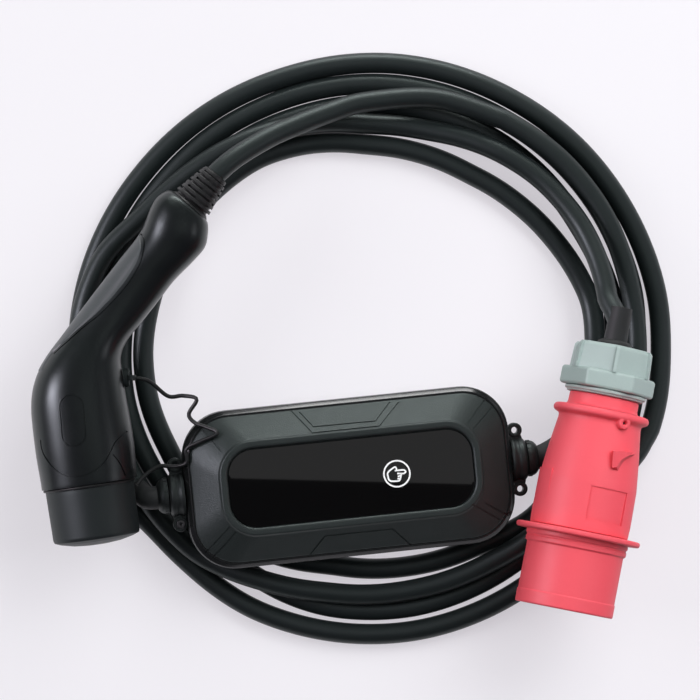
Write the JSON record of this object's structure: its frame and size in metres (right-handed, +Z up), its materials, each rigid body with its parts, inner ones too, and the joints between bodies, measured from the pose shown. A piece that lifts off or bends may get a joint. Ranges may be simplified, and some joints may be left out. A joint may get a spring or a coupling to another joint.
{
  "type": "portable ev charger",
  "caption": "Portable charger for electric vehicles: a control box with a touch panel, a pistol-shaped vehicle connector, a red industrial supply plug and a coiled cable.",
  "frame": {"origin": "on the table, under the middle of the control box and the vehicle connector", "axes": "+X along the control box's length towards its right gland, +Y across it towards the connector's cable end, +Z up out of the table"},
  "size_m": [0.3727, 0.3481, 0.0936],
  "materials": {
    "box_black": "fine spark-textured black",
    "panel_glass": "glossy black touch panel",
    "seal_rubber": "dull black",
    "board_green": "green lacquer",
    "relay_blue": "dull blue",
    "part_grey": "mid grey",
    "grip_black": "satin grey-black",
    "inlay_grey": "matt mid grey",
    "cap_black": "matt dark grey",
    "contact_metal": "bright plated",
    "plug_red": "satin red",
    "nut_grey": "satin grey-green",
    "cable_black": "matt black sheath"
  },
  "bodies": {
    "root": {"box_base": "box_black", "box_cover": "box_black", "left_gland": "box_black", "left_gland_nut": "box_black", "right_gland": "box_black", "right_gland_nut": "box_black", "touch_panel": "panel_glass", "box_seal": "seal_rubber", "cap_tether": "seal_rubber", "cable_grommet": "seal_rubber", "circuit_board": "board_green", "relay_1": "relay_blue", "relay_2": "relay_blue", "relay_3": "relay_blue", "current_sensor": "relay_blue", "transformer": "part_grey", "input_terminals": "part_grey", "output_terminals": "part_grey", "capacitor": "part_grey", "contact_carrier": "part_grey", "pin_carrier": "part_grey", "connector_housing": "grip_black", "nozzle_barrel": "grip_black", "cable_boot": "grip_black", "grip_inlay": "inlay_grey", "dust_cap": "cap_black", "tether_eyelet": "cap_black", "contact_sleeve_1": "contact_metal", "contact_sleeve_2": "contact_metal", "contact_sleeve_3": "contact_metal", "contact_sleeve_4": "contact_metal", "contact_sleeve_5": "contact_metal", "contact_sleeve_6": "contact_metal", "contact_sleeve_7": "contact_metal", "plug_pin_1": "contact_metal", "plug_pin_2": "contact_metal", "plug_pin_3": "contact_metal", "plug_pin_4": "contact_metal", "plug_pin_5": "contact_metal", "plug_shroud": "plug_red", "plug_housing": "plug_red", "plug_catch": "plug_red", "nut_seal": "nut_grey", "plug_nut": "nut_grey", "cable_coil": "cable_black", "vehicle_cable_start": "cable_black", "vehicle_cable_end": "cable_black", "supply_cable": "cable_black"}
  },
  "joints": []
}
